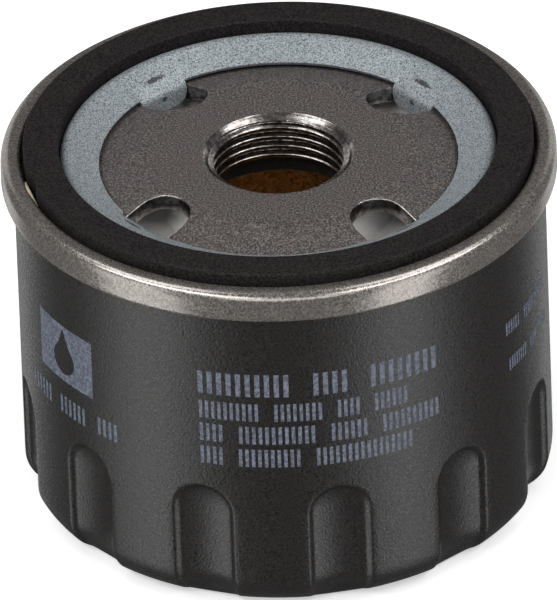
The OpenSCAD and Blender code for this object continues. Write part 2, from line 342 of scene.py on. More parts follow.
class Look:
    """A Principled material with a short way to add nodes."""

    def __init__(self, name, colour, roughness, metallic=0.0, **sockets):
        self.material = bpy.data.materials.new(name)
        self.material.use_nodes = True
        self.tree = self.material.node_tree
        self.shader = self.tree.nodes["Principled BSDF"]
        sockets.update(Base_Color=(*colour, 1), Roughness=roughness, Metallic=metallic)
        for socket, value in sockets.items():
            self.set(socket.replace("_", " "), value)
        self.place = self.add("TexCoord").outputs["Object"]
        self.height = None

    def add(self, kind, *sources, **settings):
        return add_node(self.tree, kind, *sources, **settings)

    def set(self, socket, source):
        feed(self.shader.inputs[socket], source)

    def work_out(self, operation, first, second=None):
        """One operation on outputs or numbers."""
        return self.add("Math", first, second, operation=operation).outputs[0]

    def noise(self, size_mm, detail=3.0, where=None, rough=0.55, stretch=None):
        """Noise whose grains are about size_mm across, as a value around 0.5."""
        where = where or self.place
        if stretch is not None:
            where = self.add("VectorMath", where, stretch, operation="MULTIPLY").outputs[0]
        scale = 1 / (size_mm * MM)
        return self.add("TexNoise", where, None, scale, detail, rough).outputs["Fac"]

    def turned_place(self):
        """Coordinates (distance from the axis, 0, height), for marks that run round."""
        x, y, z = self.add("SeparateXYZ", self.place).outputs
        flat = self.add("CombineXYZ", x, y).outputs[0]
        length = self.add("VectorMath", flat, operation="LENGTH").outputs["Value"]
        return self.add("CombineXYZ", length, None, z).outputs[0]

    def ramp(self, value, stops):
        """A ramp of stops (position, colour), where a colour may be one number for a grey."""
        node = self.add("ValToRGB", value)
        line = node.color_ramp
        while len(line.elements) < len(stops):
            line.elements.new(0.5)
        for element, (position, colour) in zip(line.elements, stops):
            element.position = position
            element.color = (*(colour if isinstance(colour, tuple) else [colour] * 3), 1)
        return node.outputs["Color"]

    def mix(self, share, first, second):
        """Two colours mixed by the output share; each is an output or a plain colour."""
        node = self.add("Mix", share, data_type="RGBA")
        for source, target in ((first, node.inputs[6]), (second, node.inputs[7])):
            feed(target, (*source, 1) if isinstance(source, tuple) else source)
        return node.outputs[2]

    def spread(self, value, low, high):
        """A noise value stretched from its usual 0.3 to 0.7 onto low to high."""
        return self.add("MapRange", value, 0.3, 0.7, low, high).outputs["Result"]

    def blot(self, across, along, at, half_across, half_along):
        """1 in the middle of an oval blot, falling to 0 at its ragged edge."""
        x = self.work_out("DIVIDE", across, half_across * MM)
        y = self.work_out("DIVIDE", self.work_out("SUBTRACT", along, at * MM), half_along * MM)
        x2, y2 = self.work_out("MULTIPLY", x, x), self.work_out("MULTIPLY", y, y)
        ragged = self.work_out("ADD", self.work_out("ADD", x2, y2),
                               self.spread(self.noise(0.3, 3), -0.7, 0.7))
        return self.ramp(ragged, [(0.45, 1.0), (0.85, 0.0)])

    def tab_shade_and_blots(self):
        """Painted shade of a crease on the ring beside the bend of each of the four tabs, and a
        dark blot on each tongue.
        """
        x, y, z = self.add("SeparateXYZ", self.place).outputs
        quarter = math.pi / 2
        off = self.work_out("SUBTRACT", self.work_out("ARCTAN2", y, x),
                            math.radians(SLOT_ANGLE) - quarter / 2)
        off = self.work_out("FLOORED_MODULO", off, quarter)
        off = self.work_out("SUBTRACT", off, quarter / 2)
        across = self.work_out("MULTIPLY", off, LID_OPEN_R * MM)
        out = self.work_out("SQRT", self.work_out("ADD", self.work_out("POWER", x, 2.0),
                                                  self.work_out("POWER", y, 2.0)))
        # stretch: painted shade, a dark blot where the crease beside each tab's bend lies in shade
        stretch = self.blot(across, out, LID_OPEN_R + 1.5, 1.9, 0.42)
        tongue_blot = self.blot(across, z, SEAM_Z - 2.2, 0.55, 0.4)
        low = self.work_out("LESS_THAN", out, (LID_OPEN_R - 0.2) * MM)
        return self.work_out("MAXIMUM", stretch, self.work_out("MULTIPLY", tongue_blot, low))

    def roughness(self, value, low, high):
        self.set("Roughness", self.spread(value, low, high))

    def clouded(self, base, cloud, share, tint):
        """Sets the colour: the base, with soft clouds of a tint over it."""
        self.set("Base Color", self.mix(self.spread(cloud, 0, share), base, tint))

    def bump(self, value, depth_mm, strength=1.0):
        """Relief of depth_mm from a value, on top of any relief given before."""
        node = self.add("Bump", strength, depth_mm * MM, None, value, self.height)
        self.height = node.outputs["Normal"]
        self.set("Normal", self.height)


def can_paint():
    look = Look("black_can_paint", (0.006, 0.005, 0.0045), 0.34, Specular_IOR_Level=1.0)
    grain = look.noise(0.3, 3)
    fine = look.noise(0.34, 3)
    cloud = look.noise(9, 3)
    base = look.ramp(grain, [(0.38, (0.002, 0.0014, 0.0012)), (0.64, (0.01, 0.0075, 0.0062))])
    look.clouded(base, cloud, 0.35, (0.006, 0.0045, 0.004))
    look.roughness(grain, 0.2, 0.46)
    look.bump(look.noise(1.4, 2), 0.01, 0.5)
    look.bump(fine, 0.09, 1.0)
    return look.material


def print_ink():
    look = Look("print_ink", (0.12, 0.13, 0.17), 0.6)
    wear = look.noise(0.45, 4)
    look.set("Base Color", look.ramp(wear, [(0.38, (0.05, 0.056, 0.078)),
                                            (0.5, (0.086, 0.097, 0.135)),
                                            (0.62, (0.125, 0.142, 0.19))]))
    look.roughness(wear, 0.5, 0.7)
    look.bump(wear, 0.006, 0.5)
    return look.material


def seam_steel():
    look = Look("rolled_seam_steel", (0.5, 0.47, 0.43), 0.3, 0.85)
    around = look.turned_place()
    lines = look.noise(0.18, 4, around)
    grain = look.noise(0.3, 4)
    cloud = look.noise(2.4, 3)
    base = look.ramp(grain, [(0.38, (0.21, 0.19, 0.175)), (0.5, (0.37, 0.342, 0.317)),
                             (0.62, (0.52, 0.485, 0.45))])
    look.clouded(base, cloud, 0.5, (0.29, 0.266, 0.246))
    look.roughness(grain, 0.17, 0.32)
    look.bump(lines, 0.014, 0.6)
    look.bump(grain, 0.012, 0.6)
    return look.material


def zinc_sheet():
    look = Look("zinc_coated_sheet", (0.36, 0.4, 0.43), 0.5, 0.35)
    speck = look.noise(0.2, 4)
    spots = look.noise(0.28, 3, rough=0.7)
    cloud = look.noise(3.5, 3)
    base = look.ramp(speck, [(0.41, (0.15, 0.168, 0.182)), (0.5, (0.3, 0.335, 0.355)),
                             (0.59, (0.44, 0.485, 0.51))])
    base = look.mix(look.spread(cloud, 0, 0.3), base, (0.27, 0.298, 0.315))
    bare = look.ramp(spots, [(0.385, 1.0), (0.43, 0.0)])
    base = look.mix(bare, base, (0.05, 0.052, 0.055))
    # darkened over the tabs: painted shade of the crease beside each bend, and a dark blot on each
    # tongue
    look.set("Base Color", look.mix(look.tab_shade_and_blots(), base, (0.045, 0.047, 0.05)))
    look.roughness(cloud, 0.42, 0.56)
    look.bump(spots, 0.02, 0.6)
    look.bump(speck, 0.012, 0.5)
    return look.material


def phosphate_plate():
    look = Look("phosphated_plate", (0.09, 0.08, 0.076), 0.6, 0.15)
    speck = look.noise(0.27, 4, rough=0.7)
    cloud = look.noise(5, 4)
    base = look.ramp(speck, [(0.4, (0.018, 0.015, 0.014)), (0.5, (0.07, 0.06, 0.057)),
                             (0.6, (0.2, 0.18, 0.172))])
    look.clouded(base, cloud, 0.25, (0.085, 0.07, 0.068))
    look.roughness(speck, 0.5, 0.7)
    look.bump(speck, 0.06, 1.0)
    return look.material


def cut_steel():
    look = Look("machined_steel", (0.4, 0.385, 0.365), 0.3, 1.0)
    around = look.turned_place()
    tool = look.noise(0.12, 3, around)
    stain = look.noise(0.8, 3)
    base = look.ramp(stain, [(0.4, (0.2, 0.182, 0.168)), (0.6, (0.46, 0.435, 0.42))])
    look.set("Base Color", base)
    look.roughness(tool, 0.14, 0.26)
    look.bump(tool, 0.01, 0.5)
    return look.material


def rubber(name, dark, light, roughness, gloss=0.3):
    look = Look(name, dark, roughness, Specular_IOR_Level=gloss)
    grain = look.noise(0.3, 3)
    cloud = look.noise(4, 3)
    base = look.ramp(grain, [(0.42, dark), (0.6, light)])
    look.clouded(base, cloud, 0.25, light)
    look.roughness(cloud, roughness - 0.06, roughness + 0.06)
    look.bump(look.noise(0.5, 2, look.turned_place()), 0.01, 0.6)
    look.bump(grain, 0.03, 0.9)
    return look.material


def metal(name, dark, light, roughness, grain_mm=0.3, relief_mm=0.004):
    look = Look(name, light, roughness, 1.0)
    grain = look.noise(grain_mm, 3)
    cloud = look.noise(4, 3)
    look.clouded(look.ramp(grain, [(0.35, dark), (0.65, light)]), cloud, 0.5, dark)
    look.roughness(grain, roughness - 0.07, roughness + 0.08)
    look.bump(grain, relief_mm)
    return look.material


def filter_paper():
    look = Look("filter_paper", (0.7, 0.42, 0.14), 0.85)
    fibre = look.noise(0.35, 5, stretch=(1, 1, 0.25))
    cloud = look.noise(3, 3)
    base = look.ramp(fibre, [(0.3, (0.45, 0.24, 0.07)), (0.7, (0.78, 0.5, 0.2))])
    look.clouded(base, cloud, 0.4, (0.55, 0.3, 0.09))
    look.bump(fibre, 0.03, 0.7)
    return look.material


def plastisol():
    look = Look("potting_plastisol", (0.55, 0.4, 0.18), 0.45, Subsurface_Weight=0.1)
    cloud = look.noise(1.6, 4)
    look.set("Base Color", look.ramp(cloud, [(0.35, (0.46, 0.38, 0.22)),
                                             (0.65, (0.68, 0.6, 0.4))]))
    look.bump(cloud, 0.05, 0.5)
    return look.material


def pale_floor():
    """A plain pale table, lit a little from below so that shadows on it stay soft."""
    look = Look("pale_floor", (0.9, 0.9, 0.9), 0.9, Emission_Color=(1, 1, 1, 1),
                Emission_Strength=0.45)
    return look.material


# ---- the can

def flute_turns():
    """Angles round the can, close together where a flute's walls stand."""
    half = FLUTE_W / 2
    land = math.pi * CAN_R / FLUTES
    marks = (-land, -half, FLUTE_RUN - half, half - FLUTE_RUN, half, land)
    across = np.concatenate([np.linspace(start, end, steps, endpoint=False)
                             for start, end, steps in zip(marks, marks[1:], (6, 6, 16, 6, 6))])
    centres = math.radians(FLUTE_FIRST - 90) + 2 * math.pi * np.arange(FLUTES) / FLUTES
    return np.concatenate([centre + across / CAN_R for centre in centres])


def eased(share):
    """A share from 0 to 1 that starts and ends softly."""
    return share * share * (3 - 2 * share)


def flute_depth(z, turn):
    """Depth of the wrench flutes below the can's surface, round the can at height z."""
    azimuth = np.degrees(turn) + 90 - FLUTE_FIRST
    step = 360 / FLUTES
    across = ((azimuth + step / 2) % step - step / 2) * math.radians(1) * CAN_R
    middle = np.hypot(across, max(0.0, z - FLUTE_TOP + FLUTE_W / 2))
    wall = eased(np.clip((FLUTE_W / 2 - middle) / FLUTE_RUN, 0, 1))
    floor = np.clip(1 - (middle / (FLUTE_W / 2 - FLUTE_RUN / 2)) ** 2, 0, 1)
    return FLUTE_EDGE_DEPTH * wall + FLUTE_SCOOP * floor


def flute_cut(z, turn):
    """How much the flutes take off a radius: below the corner's start they follow its arc."""
    depth = flute_depth(z, turn)
    below = max(0.0, CORNER_R - z)
    if below == 0:
        return depth
    fade = eased(min(1.0, max(0.0, z / FLUTE_FADE)))
    arc = np.sqrt(np.maximum(0, (CORNER_R - depth * fade) ** 2 - below ** 2))
    return math.sqrt(max(0.0, CORNER_R ** 2 - below ** 2)) - arc


def fluted(r, z, turn):
    """Radius round the can's wall, where r is its radius without flutes."""
    if z > FLUTE_TOP or r < CAN_R - CORNER_R:
        return np.full(len(turn), r)
    return r - flute_cut(z, turn)


def can(paint):
    """The drawn can, from its flange inside the rolled seam to its sunk closed end."""
    half_t = CAN_WALL / 2
    mid_r = CAN_R - half_t
    hook_r = SEAM_R - LID_WALL - 0.27
    flange_z = SEAM_TOP - LID_WALL - 0.5
    arch_z = FLUTE_TOP - FLUTE_W / 2 - 0.5
    corners = [
        (hook_r, SEAM_BOTTOM + 0.9, 0), (hook_r, flange_z, 0.28), (mid_r, flange_z, 0.28),
        (mid_r, FLUTE_TOP + 1, 0), (mid_r, arch_z, 0), (mid_r, half_t, CORNER_R - half_t),
        (RECESS_R, half_t, 1.0), (RECESS_R - 2, half_t + RECESS_DEPTH, 1.0),
        (0, half_t + RECESS_DEPTH, 0)]
    path = rounded(corners, closed=False, steps=18)
    path = divided(path, lambda z: 0.25 if arch_z < z < FLUTE_TOP + 1 else 2.0)
    loop = sheet_profile(path, CAN_WALL)
    for middle in (len(path) - 1, len(path)):
        loop[middle][0] = 0
    points, faces = revolve(loop, shape=fluted, turn=flute_turns())
    make_piece("can_shell", points, faces, [paint], "housing", ["can"], sharp=40)


# ---- printing on the can

PRINT_LIFT = 0.018         # of the ink's face above the can
PRINT_SINK = 0.02          # of its back below the can's surface


def on_can(azimuth, z, lift):
    return (*spun(0, -CAN_R - lift, math.radians(azimuth)), z)


def ink_patch(points, faces, left, right, low, high):
    """Adds one thin curved block of ink, from azimuth left to right."""
    steps = max(2, math.ceil((right - left) / 1.5))
    rows = []
    for lift, z in ((-PRINT_SINK, low), (-PRINT_SINK, high), (PRINT_LIFT, high), (PRINT_LIFT, low)):
        azimuths = np.linspace(left, right, steps + 1)
        rows.append(numbered(points, [on_can(azimuth, z, lift) for azimuth in azimuths]))
    for first, second in zip(rows, rows[1:] + rows[:1]):
        faces += strip(first, second)
    faces += [tuple(row[0] for row in rows), tuple(row[-1] for row in rows[::-1])]


def ink_line(points, faces, left, top, height, pitch, words):
    """A line of plain strokes, two for each letter, with a gap after each word."""
    degrees = math.degrees(pitch / CAN_R)       # that one letter's pitch takes
    at = left
    for length in words:
        for _ in range(2 * length):
            ink_patch(points, faces, at, at + 0.27 * degrees, top - height, top)
            at += 0.5 * degrees
        at += 1.05 * degrees


def can_print(ink):
    """Lines as (first azimuth, depth below SEAM_Z, height, pitch, word lengths)."""
    points, faces = [], []
    for left, below, height, pitch, words in (
            (-19.5, 12.9, 3.7, 2.72, (5, 2, 4)),
            (-19.4, 17.8, 2.9, 1.78, (5, 4, 2, 3)),
            (-19.4, 21.6, 2.9, 1.86, (2, 6, 3, 5)),
            (-19.4, 25.4, 2.9, 1.82, (2, 5, 8)),
            (-71.0, 26.0, 2.9, 2.05, (3, 3, 2)),
            (56.0, 16.4, 2.1, 1.3, (3, 7)),
            (57.0, 22.5, 2.1, 1.3, (4, 2, 3))):
        ink_line(points, faces, left, SEAM_Z - below, height, pitch, words)
    make_piece("can_print", points, faces, [ink], "housing", sharp=60)


def drop_outline(x, y, r):
    """A round drop about (x, y), drawn out to a point at its top."""
    outline = []
    for i in range(40):
        angle = 2 * math.pi * i / 40
        up = max(0.0, math.sin(angle))
        outline.append((x + r * math.cos(angle) * (1 - 0.55 * up ** 3),
                        y + r * math.sin(angle) + 2.4 * up ** 6))
    return outline


def inside(point, outline):
    """Whether the point lies inside the closed outline."""
    x, y = point
    hit = False
    for (x0, y0), (x1, y1) in zip(outline, outline[1:] + outline[:1]):
        if (y0 > y) != (y1 > y) and x < (x1 - x0) * (y - y0) / (y1 - y0) + x0:
            hit = not hit
    return hit


def can_badge(ink):
    """A plain panel with an oil drop left out of it."""
    left, right = -66.3, -46.8
    high = SEAM_Z - 14.2
    low = SEAM_Z - 23.4
    degrees = math.degrees(1 / CAN_R)
    width = (right - left) / degrees
    height = high - low
    across, up = 24, 14
    panel = [(width * i / across, 0) for i in range(across)]
    panel += [(width, height * i / up) for i in range(up)]
    panel += [(width - x, height - y) for x, y in panel]
    drop = drop_outline(width / 2, height * 0.4, 2.5)
    grid = 0.6
    inner = [(x, y) for x in np.arange(grid, width, grid) for y in np.arange(grid, height, grid)
             if min(math.hypot(x - a, y - b) for a, b in drop) > grid / 2]
    spots, kept, loops = filled([panel, drop], inner, lambda middle: not inside(middle, drop))
    count = len(spots)
    points = [on_can(left + p.x * degrees, low + p.y, lift)
              for lift in (PRINT_LIFT, -PRINT_SINK) for p in spots]
    faces = kept + [tuple(i + count for i in face[::-1]) for face in kept]
    for loop in loops:
        faces += bridge(loop, [i + count for i in loop])
    make_piece("can_badge", points, faces, [ink], "housing", sharp=60)


# ---- seaming lid

TAB_STEPS = 24             # columns across a tab
REST_STEPS = 56            # columns from one tab to the next


def lid_path():
    """Middle of the lid's sheet: the fold, the seam, the gasket's channel and the ring."""
    half_t = LID_WALL / 2
    outer = SEAM_R - half_t
    hook = CAN_R + FOLD_GAP + half_t
    chuck = CAN_R - CAN_WALL - FOLD_GAP - half_t
    channel = PLATE_Z - PLATE_DROP + 0.07 + half_t
    edge_z = SEAM_Z - 0.7 - half_t
    corners = [
        (hook, SEAM_TOP - LID_WALL - 1.0, 0), (hook, SEAM_BOTTOM + half_t, 0.42),
        (outer, SEAM_BOTTOM + half_t, 0.5), (outer, SEAM_TOP - half_t, 1.15),
        (chuck, SEAM_TOP - half_t, 0.42), (chuck, channel, 0.45), (LID_CREST_R, channel, 0.45),
        (LID_CREST_R, edge_z + LID_SLOPE * (LID_CREST_R - LID_OPEN_R), 0.9),
        (LID_OPEN_R, edge_z, 0)]
    return divided(rounded(corners, closed=False, steps=9), lambda z: 0.45)


def lid_columns():
    """Columns round the lid: angle of the last tab, angle past it, in a tab, edge left open."""
    half = math.degrees(math.asin(TAB_W / 2 / LID_OPEN_R))
    columns = []
    for k in range(4):
        middle = SLOT_ANGLE + 90 * k
        for i in range(TAB_STEPS + 1):
            columns.append((middle, half * (2 * i / TAB_STEPS - 1), True, i < TAB_STEPS))
        for i in range(1, REST_STEPS):
            columns.append((middle, half + (90 - 2 * half) * i / REST_STEPS, False, False))
    return columns


def add_tab(points, faces, root, angle, edges):
    """Adds a tab to the lid's open edges: a bend, then a flat tongue that hangs in the slot.

    root is the (r, z) of the underside's edge, and edges the numbers of both faces' edges.
    """
    slope = math.atan(LID_SLOPE + 2 * TAB_BOW / TAB_BOW_W)
    centre_r, centre_z = root + TAB_BEND * np.array([math.sin(slope), -math.cos(slope)])
    bend_rows, flat_rows = 6, 9
    sheets = []
    for r, edge in zip((TAB_BEND + LID_WALL, TAB_BEND), edges):
        chains = []
        for i, start in enumerate(edge):
            y = TAB_W / 2 * (-1 + 2 * i / TAB_STEPS)
            past = max(0.0, abs(y) - (TAB_W / 2 - TAB_CORNER_R))
            end_z = TAB_LOW + TAB_CORNER_R - math.sqrt(TAB_CORNER_R ** 2 - past ** 2)
            spots = []
            for b in range(1, bend_rows + 1):
                a = math.pi / 2 + slope + (math.pi / 2 - slope) * b / bend_rows
                spots.append((centre_r + r * math.cos(a), centre_z + r * math.sin(a)))
            for f in range(1, flat_rows + 1):
                spots.append((centre_r - r, centre_z + (end_z - centre_z) * f / flat_rows))
            placed = [(*spun(x, y, math.radians(angle)), z) for x, z in spots]
            chains.append([start, *numbered(points, placed)])
        sheets.append(chains)
    over, under = sheets
    for chains in sheets:
        for first, second in zip(chains[:-1], chains[1:]):
            faces += strip(first, second)
    for end in (0, -1):
        faces += strip(over[end], under[end])
    faces += strip([chain[-1] for chain in over], [chain[-1] for chain in under])


def lid(zinc, steel):
    """The ring with its four tabs, the gasket's channel and the outer part of the seam."""
    path = lid_path()
    loop = sheet_profile(path, LID_WALL)
    under, over = len(path) - 1, len(path)
    columns = lid_columns()
    total = len(columns)
    points, faces, zone = [], [], []
    for r, z in loop:
        near = min(1.0, max(0.0, (LID_OPEN_R + TAB_BOW_W - r) / TAB_BOW_W))
        for middle, off, in_tab, _ in columns:
            share = near if in_tab else 0.0
            reach = r * (1 + share * (1 / math.cos(math.radians(off)) - 1))
            points.append((*spun(reach, 0, math.radians(middle + off)),
                           z - TAB_BOW * share * share))
    seam_from = CAN_R - CAN_WALL - LID_WALL - 0.3
    for i, (r, _) in enumerate(loop):
        after = (i + 1) % len(loop)
        is_seam = 1 if (r + loop[after][0]) / 2 > seam_from else 0
        for j in range(total):
            if i == under and columns[j][3]:
                continue
            k = (j + 1) % total
            faces.append((i * total + j, i * total + k, after * total + k, after * total + j))
            zone.append(is_seam)
    root = np.array(loop[under]) - [0, TAB_BOW]
    for k in range(4):
        first = k * (TAB_STEPS + REST_STEPS)
        edges = [[side * total + first + i for i in range(TAB_STEPS + 1)]
                 for side in (over, under)]
        add_tab(points, faces, root, SLOT_ANGLE + 90 * k, edges)
    zone += [0] * (len(faces) - len(zone))
    make_piece("lid_and_seam", points, faces, [zinc, steel], "housing", ["seaming_lid"],
               sharp=38, face_material=zone)


# ---- base plate

SLOT_ENDS = (SLOT_IN_R + SLOT_W / 2, SLOT_OUT_R - SLOT_W / 2)   # centres of its round ends


def slot_distance(x, y):
    """Distance from the edge of the nearest inlet slot, negative inside it."""
    best = math.inf
    for k in range(4):
        out, side = spun(x, y, -math.radians(SLOT_ANGLE + 90 * k))
        past = out - min(max(out, SLOT_ENDS[0]), SLOT_ENDS[1])
        best = min(best, math.hypot(past, side) - SLOT_W / 2)
    return best


def slot_loop(k, grow):
    """Outline of slot k, grown outwards, as points (x, y)."""
    r = SLOT_W / 2 + grow
    arc_steps, side_steps = 26, 7
    path = []
    for start, end, side in ((*SLOT_ENDS, 1), (*SLOT_ENDS[::-1], -1)):
        for i in range(arc_steps + 1):
            a = math.radians(90 * side + 180 * i / arc_steps)
            path.append((start + r * math.cos(a), r * math.sin(a)))
        for i in range(1, side_steps):
            path.append((start + (end - start) * i / side_steps, -r * side))
    return [spun(x, y, math.radians(SLOT_ANGLE + 90 * k)) for x, y in path]


def plate_drop(r):
    """How far the plate's face lies below its middle, with rounded bends."""
    softness = 1.2             # the larger, the rounder the bends
    past = [0.5 * ((r - bend) + math.sqrt((r - bend) ** 2 + softness))
            for bend in (PLATE_SLOPE_IN, PLATE_SLOPE_OUT)]
    return PLATE_DROP / (PLATE_SLOPE_OUT - PLATE_SLOPE_IN) * (past[0] - past[1])


def plate_face(inner_r, roll, columns, ring_points):
    """One face of the plate, flat: (x, y) spots, triangles, and bore, rim and slot loops."""
    turn = [2 * math.pi * i / columns for i in range(columns)]
    outlines = [[(r * math.cos(a), r * math.sin(a)) for a in turn] for r in (inner_r, PLATE_R)]
    outlines += [slot_loop(k, grow) for grow in (0, *roll) for k in range(4)]
    clear = max((0, *roll)) + 0.25
    inner = []
    r = inner_r + 0.7
    while r < PLATE_R - 0.5:
        for i in range(ring_points):
            x, y = spun(r, 0, 2 * math.pi * (i + 0.37) / ring_points)
            if slot_distance(x, y) > clear:
                inner.append((x, y))
        r += 0.8

    def on_plate(middle):
        return inner_r * 0.9995 < middle.length and slot_distance(*middle) > 0

    spots, kept, loops = filled(outlines, inner, on_plate)
    return spots, kept, loops[:6]


def bore_rows(turn):
    """Rows (radius, height, material) from the bore's top edge down the thread to the hub."""
    rows = [(BORE_EDGE_R + 0.04, PLATE_Z - 0.03, 1), (BORE_EDGE_R - 0.05, PLATE_Z - 0.11, 1)]
    for z in np.arange(PLATE_Z - 0.25, HUB_BOTTOM + 0.06, -0.05):
        rows.append((thread_radius(turn, z), z, 1))
    fillet_z = PLATE_Z - PLATE_T - HUB_FILLET
    rows += [(THREAD_MINOR_R + 0.62, HUB_BOTTOM, 1), (HUB_R - 0.5, HUB_BOTTOM, 0),
             (HUB_R - 0.15, HUB_BOTTOM + 0.1, 0), (HUB_R, HUB_BOTTOM + 0.5, 0),
             (HUB_R, fillet_z, 0)]
    for k in range(1, 6):
        a = math.radians(180 - 90 * k / 6)
        rows.append((HUB_R + HUB_FILLET * (1 + math.cos(a)),
                     fillet_z + HUB_FILLET * math.sin(a), 0))
    return rows


def base_plate(dark, bright):
    """The dished plate with its rolled slot edges, and the threaded hub under its middle."""
    columns = 288
    roll_r = 0.4
    worn = 0.1                 # width of the bright edge round each slot
    points, faces, zone = [], [], []

    def rolled(spot):
        near = min(roll_r, max(0.0, slot_distance(*spot)))
        drop = roll_r - math.sqrt(roll_r ** 2 - (roll_r - near) ** 2)
        return PLATE_Z - plate_drop(spot.length) - drop * 0.75

    spots, kept, top_loops = plate_face(BORE_EDGE_R + 0.12, (0.04, 0.1, 0.2, roll_r), columns,
                                        132)
    points += [(p.x, p.y, rolled(p)) for p in spots]
    faces += kept
    for face in kept:
        near = sum(slot_distance(*spots[i]) for i in face) / 3
        zone.append(1 if near < worn else 0)
    offset = len(points)
    spots, kept, low_loops = plate_face(HUB_R + HUB_FILLET, (), columns, 96)
    points += [(p.x, p.y, PLATE_Z - PLATE_T - plate_drop(p.length + 0.4)) for p in spots]
    faces += [tuple(i + offset for i in face) for face in kept]
    zone += [0] * len(kept)
    low_loops = [[i + offset for i in loop] for loop in low_loops]
    for top, low in zip(top_loops[1:], low_loops[1:]):
        faces += bridge(top, low)
        zone += [1 if len(top) != columns else 0] * len(top)
    turn = np.linspace(0, 2 * math.pi, columns, endpoint=False)
    above = top_loops[0]
    for r, z, material in bore_rows(turn):
        spots = zip(r * np.cos(turn), r * np.sin(turn), np.full(columns, z))
        ring = numbered(points, spots)
        faces += bridge(above, ring)
        zone += [material] * columns
        above = ring
    faces += bridge(above, low_loops[0])
    zone += [0] * columns
    make_piece("base_plate_threaded", points, faces, [dark, bright], "housing",
               ["base_plate"], sharp=36, face_material=zone)


def thread_radius(turn, z):
    """Radius of the bore's wall: the helical groove, opened by a chamfer at each end."""
    phase = ((z - THREAD_PITCH * turn / (2 * math.pi)) / THREAD_PITCH) % 1.0
    off = np.abs(phase - 0.5)                       # 0 in the middle of the groove
    half_crest, flank = 0.125, 0.3125               # shares of the pitch
    rise = eased(np.clip((0.5 - half_crest - off) / flank, 0, 1))
    fade = min(1.0, max(0.0, (z - HUB_BOTTOM - 0.35) / 0.9))
    groove = THREAD_MINOR_R + (THREAD_MAJOR_R - THREAD_MINOR_R) * rise * fade
    above = z - PLATE_Z + BORE_EDGE_R - THREAD_MAJOR_R    # height above the chamfer's foot
    cone = THREAD_MAJOR_R + above * (1.0 if above > 0 else 2.2)
    low_cone = THREAD_MINOR_R + max(0.0, HUB_BOTTOM + 0.6 - z)
    return np.maximum(groove, max(cone, low_cone))


# ---- gasket and inner parts

def gasket(black):
    """The square-cut ring, with a shallow nick in its outer edge."""
    inner, outer = 31.0, radius_of("sealing_gasket")
    low, high = span_of("sealing_gasket")
    corners = [(inner, low, 0.35), (outer, low, 0.35), (outer, high, 0.4), (inner, high, 0.4)]
    path = rounded(corners, steps=7)
    path = divided(path + [path[0]], lambda z: 0.7)[:-1]
    nick_at, nick_half, nick_depth = math.radians(193.9), math.radians(3.0), 0.55

    def nicked(r, z, turn):
        away = (turn - nick_at + math.pi) % (2 * math.pi) - math.pi
        depth = nick_depth * np.exp(-(away / nick_half) ** 4)
        return r - depth * (1 if r > outer - 0.8 else 0)

    points, faces = revolve(path, steps=360, shape=nicked)
    make_piece("gasket_ring", points, faces, [black], "housing", ["sealing_gasket"], sharp=50)


def painted_highlight_sliver(cream):
    """A cream sliver between the gasket and the seam: a painted highlight where the lid's channel
    shows a bright reflection.
    """
    inner, low, high = radius_of("sealing_gasket") + 0.02, SEAM_TOP - 1.2, SEAM_TOP - 0.1
    first, last = math.radians(188.5), math.radians(199.5)
    steps, sides = 24, 10
    points, rows = [], []
    for share in np.linspace(0, 1, steps + 1):
        angle = first + (last - first) * share
        swell = 0.08 + 0.92 * abs(math.sin(math.pi * share)) ** 0.7
        ring = []
        for a in 2 * math.pi * np.arange(sides) / sides:
            r = inner + 0.42 * swell * (1 + math.cos(a))
            ring.append((*spun(r, 0, angle), low + (high - low) * swell * (1 + math.sin(a)) / 2))
        rows.append(numbered(points, ring))
    make_piece("painted_highlight_sliver", points, tube(rows), [cream], "housing",
               sharp=60)


def pleats(paper):
    """Paper folded into rounded radial pleats, as one closed band."""
    folds, steps = 60, 18
    outer, inner = 30.9, 13.6
    thick = 0.42
    line = []
    for i in range(folds * steps):
        wave = abs(2 * ((i / steps) % 1.0) - 1)
        soft = 0.5 - 0.5 * math.cos(math.pi * wave)
        r = inner + (outer - inner) * (wave * 0.82 + soft * 0.18)
        line.append(spun(r, 0, 2 * math.pi * i / (folds * steps)))
    line = np.array(line)
    ahead = np.roll(line, -1, 0) - np.roll(line, 1, 0)
    ahead /= np.linalg.norm(ahead, axis=1)[:, None]
    side = np.stack([-ahead[:, 1], ahead[:, 0]], 1) * thick / 2
    points, faces, ends = [], [], []
    for edge in (line + side, line - side):
        rows = []
        for z in np.linspace(*span_of("pleated_paper"), 13):
            wander = 0.12 * math.sin(z * 0.9) + 0.07 * math.sin(z * 2.3 + 1)
            x, y = spun(edge[:, 0], edge[:, 1], wander / 22)
            rows.append(numbered(points, zip(x, y, np.full(len(edge), z))))
        for low, high in zip(rows[:-1], rows[1:]):
            faces += bridge(low, high)
        ends.append((rows[0], rows[-1]))
    for first, second in zip(*ends):
        faces += bridge(first, second)
    make_piece("folded_paper", points, faces, [paper], "element", ["pleated_paper"], sharp=50)


def washer(name, node, inner, material, body, rounding, steps=192):
    """A flat ring the size of its node, with a hole of radius inner.

    rounding lists the corners' radii: low inside, low outside, high outside, high inside.
    """
    low, high = span_of(node)
    outer = radius_of(node)
    corners = ((inner, low), (outer, low), (outer, high), (inner, high))
    turned(name, [(*corner, r) for corner, r in zip(corners, rounding)], material, body,
           [node], steps)


